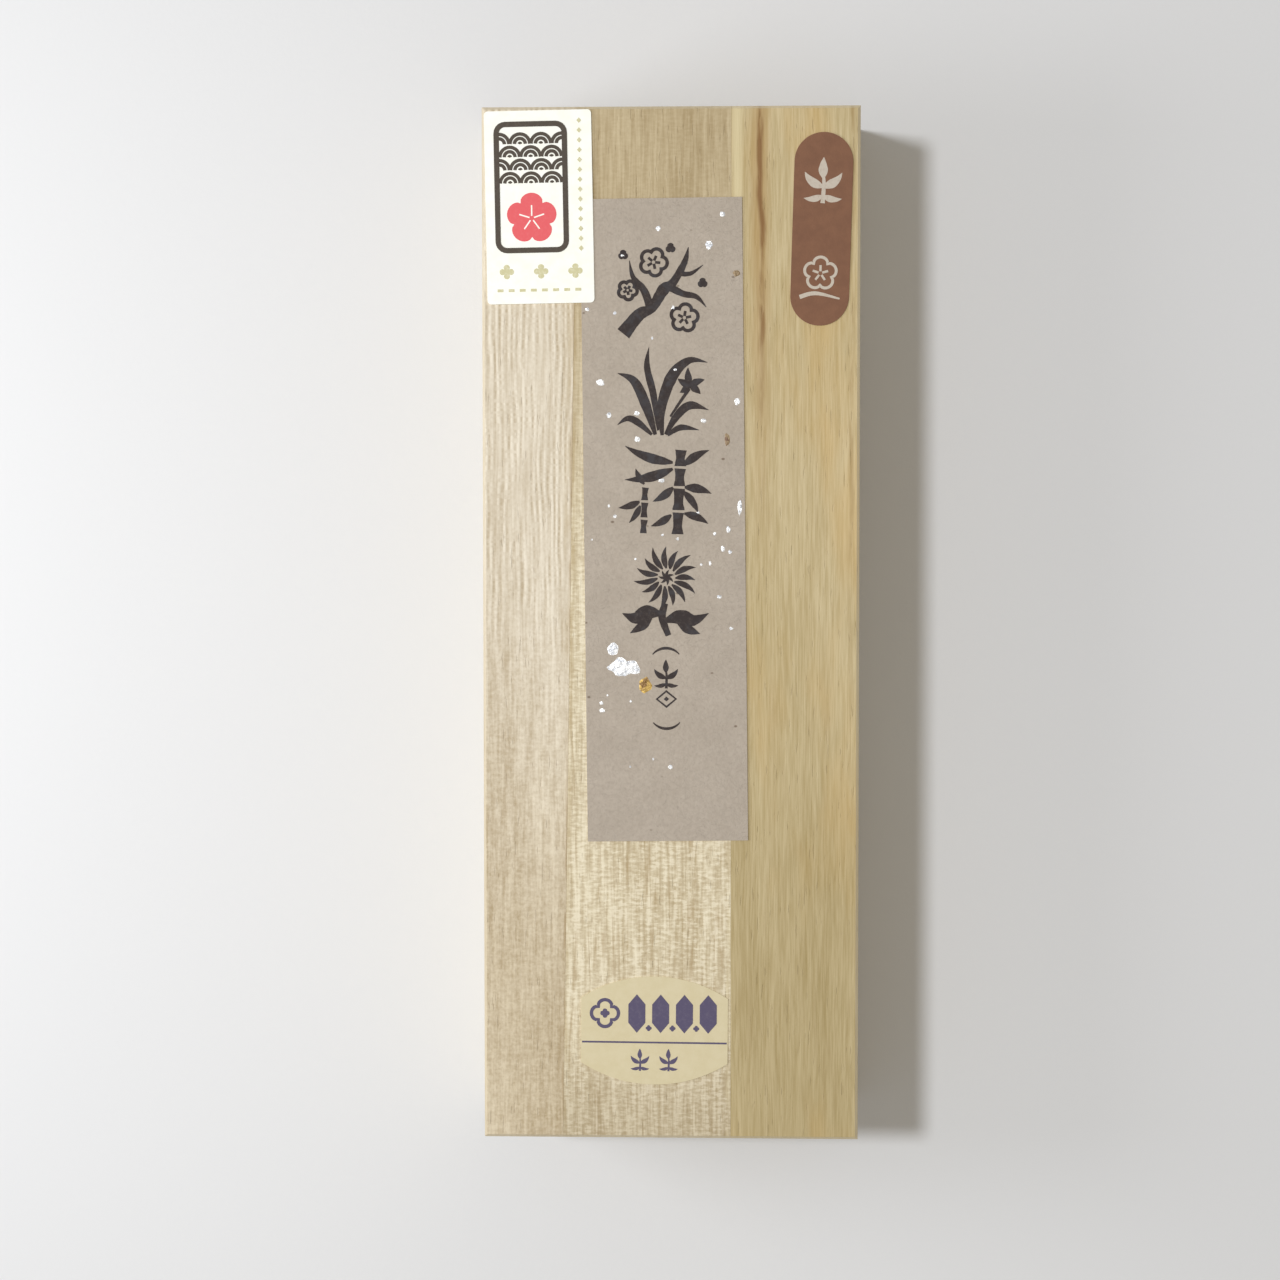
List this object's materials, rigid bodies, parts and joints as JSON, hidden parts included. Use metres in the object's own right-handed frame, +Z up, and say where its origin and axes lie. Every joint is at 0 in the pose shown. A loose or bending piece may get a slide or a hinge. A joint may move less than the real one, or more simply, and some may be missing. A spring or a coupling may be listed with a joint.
{
  "type": "boxed ink stick",
  "caption": "Oblong pale wooden case with a lift-off lid glued up from strips, pasted paper labels on top, and a moulded black ink stick in a padded cloth bed inside.",
  "frame": {"origin": "centre of the case's flat underside", "axes": "+X across the case, +Y along it towards the head of the labels, +Z up out of the lid"},
  "size_m": [0.055, 0.151, 0.0303],
  "materials": {
    "case_wood": "planed and unfinished",
    "peg_wood": "end grain, flush",
    "lid_wood_pale": "planed and unfinished",
    "lid_wood_flecked": "planed, with short cream flecks",
    "lid_wood_yellow": "planed and unfinished",
    "slip_paper": "soft fibrous paper",
    "silver_foil": "crumpled leaf",
    "gold_foil": "crumpled leaf",
    "seal_paper": "coated sticker paper",
    "brown_paper": "uncoated dyed paper",
    "price_paper": "coated sticker paper",
    "bed_card": "grey board",
    "wadding": "cotton wadding",
    "bed_cloth": "satin-faced cloth",
    "ink": "moulded soot and glue, satin",
    "gilding": "gold paint worn at its edges",
    "brush_ink": "brushed black ink on the slip",
    "print_dark": "printed line",
    "print_red": "printed",
    "print_gold": "printed, faint",
    "print_pale": "printed in a dull silver",
    "print_violet": "printed"
  },
  "bodies": {
    "base": {"base_floor": "case_wood", "base_side_left": "case_wood", "base_side_right": "case_wood", "base_end_head": "case_wood", "base_end_foot": "case_wood", "side_pegs": "peg_wood", "floor_pegs": "peg_wood"},
    "bed": {"bed_card": "bed_card", "bed_wadding": "wadding", "bed_cloth": "bed_cloth"},
    "stick": {"ink_stick": "ink"},
    "lid": {"lid_strip_left": "lid_wood_pale", "lid_strip_centre": "lid_wood_flecked", "lid_strip_right": "lid_wood_yellow", "lid_batten_left": "case_wood", "lid_batten_right": "case_wood", "lid_batten_head": "case_wood", "lid_batten_foot": "case_wood", "title_slip": "slip_paper", "silver_flakes": "silver_foil", "gold_flakes": "gold_foil", "seal_sticker": "seal_paper", "kind_label": "brown_paper", "price_sticker": "price_paper"}
  },
  "joints": [
    {"name": "bed_lift", "type": "slide", "parent": "base", "child": "bed", "axis": [0, 0, 1], "range_m": [0, 0.025]},
    {"name": "stick_lift", "type": "slide", "parent": "bed", "child": "stick", "axis": [0, 0, 1], "range_m": [0, 0.025]},
    {"name": "lid_lift", "type": "slide", "parent": "stick", "child": "lid", "axis": [0, 0, 1], "range_m": [0, 0.035]}
  ]
}
